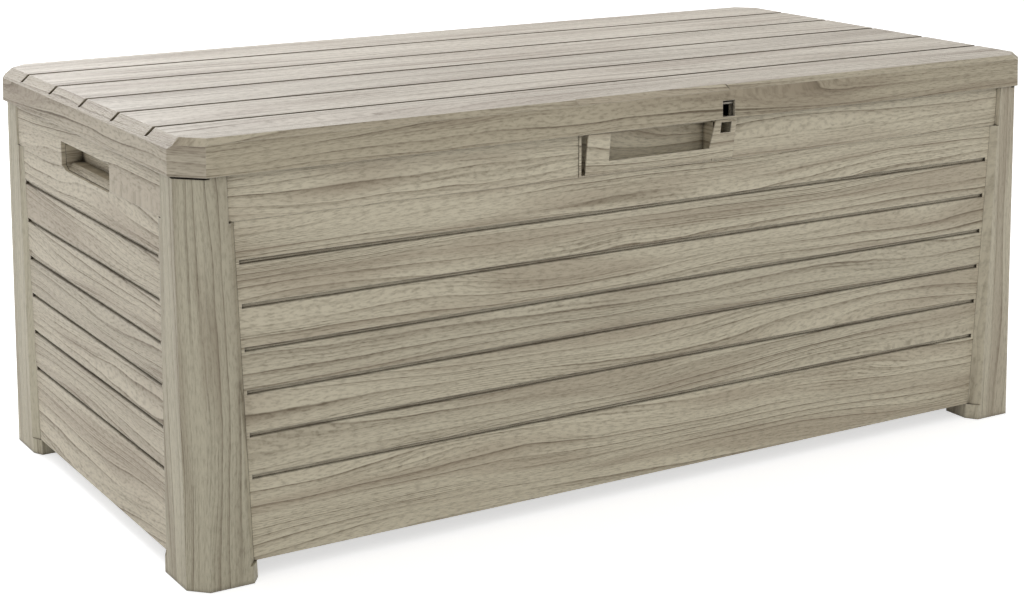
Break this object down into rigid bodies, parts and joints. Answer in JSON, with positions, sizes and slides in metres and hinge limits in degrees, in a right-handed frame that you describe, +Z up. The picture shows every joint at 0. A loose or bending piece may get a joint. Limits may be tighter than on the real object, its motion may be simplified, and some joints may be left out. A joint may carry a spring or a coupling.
{
  "type": "outdoor cushion storage box",
  "caption": "Wood-grained resin deck box with slatted walls, splayed corner posts, side hand-holds, a front grip with padlock hole, and a hinged lid on gas struts.",
  "frame": {"origin": "floor level under the middle of the box", "axes": "+X to the right along the front, -Y out of the front, +Z up"},
  "size_m": [1.4648, 0.7444, 0.5968],
  "materials": {
    "resin": "moulded wood grain, matt",
    "inner_resin": "plain moulded, matt",
    "tube_steel": "galvanised",
    "zinc_steel": "zinc plated",
    "screw_steel": "zinc plated",
    "strut_black": "black paint, satin",
    "rod_chrome": "polished"
  },
  "bodies": {
    "body": {"front_left_post": "resin", "front_right_post": "resin", "back_left_post": "resin", "back_right_post": "resin", "front_panel": "resin", "back_panel": "resin", "left_panel": "resin", "right_panel": "resin", "front_grip": "resin", "left_handle_cup": "resin", "right_handle_cup": "resin", "floor_panel": "inner_resin", "left_hinge_body_leaf": "zinc_steel", "left_hinge_pin": "zinc_steel", "middle_hinge_body_leaf": "zinc_steel", "middle_hinge_pin": "zinc_steel", "right_hinge_body_leaf": "zinc_steel", "right_hinge_pin": "zinc_steel", "left_strut_body_bracket": "zinc_steel", "right_strut_body_bracket": "zinc_steel", "panel_screws": "screw_steel", "floor_screws": "screw_steel", "hinge_body_screws": "screw_steel", "strut_body_screws": "screw_steel", "grip_screws": "screw_steel", "cup_screws": "screw_steel"},
    "lid": {"lid_shell": "resin", "lid_liner": "inner_resin", "front_lid_tube": "tube_steel", "rear_lid_tube": "tube_steel", "left_hinge_lid_leaf": "zinc_steel", "middle_hinge_lid_leaf": "zinc_steel", "right_hinge_lid_leaf": "zinc_steel", "left_strut_lid_bracket": "zinc_steel", "right_strut_lid_bracket": "zinc_steel", "liner_screws": "screw_steel", "hinge_lid_screws": "screw_steel", "strut_lid_screws": "screw_steel"},
    "left_cylinder": {"left_strut_cylinder": "strut_black"},
    "left_rod": {"left_strut_rod": "rod_chrome"},
    "right_cylinder": {"right_strut_cylinder": "strut_black"},
    "right_rod": {"right_strut_rod": "rod_chrome"}
  },
  "joints": [
    {"name": "lid_hinge", "type": "hinge", "parent": "body", "child": "lid", "pos_m": [0, 0.3564, 0.5504], "axis": [-1, 0, 0], "range_deg": [0, 90]},
    {"name": "left_strut_base", "type": "hinge", "parent": "body", "child": "left_cylinder", "pos_m": [-0.688, 0.28109, 0.34348], "axis": [-1, 0, 0], "range_deg": [0, 45]},
    {"name": "left_strut_end", "type": "hinge", "parent": "lid", "child": "left_rod", "pos_m": [-0.688, 0.1362, 0.5504], "axis": [-1, 0, 0], "range_deg": [-45, 0]},
    {"name": "right_strut_base", "type": "hinge", "parent": "body", "child": "right_cylinder", "pos_m": [0.688, 0.28109, 0.34348], "axis": [-1, 0, 0], "range_deg": [0, 45]},
    {"name": "right_strut_end", "type": "hinge", "parent": "lid", "child": "right_rod", "pos_m": [0.688, 0.1362, 0.5504], "axis": [-1, 0, 0], "range_deg": [-45, 0]}
  ],
  "couplings": [
    {"joint": "left_strut_base", "follows": "lid_hinge", "ratio": 0.5},
    {"joint": "left_strut_end", "follows": "lid_hinge", "ratio": -0.5},
    {"joint": "right_strut_base", "follows": "lid_hinge", "ratio": 0.5},
    {"joint": "right_strut_end", "follows": "lid_hinge", "ratio": -0.5}
  ]
}
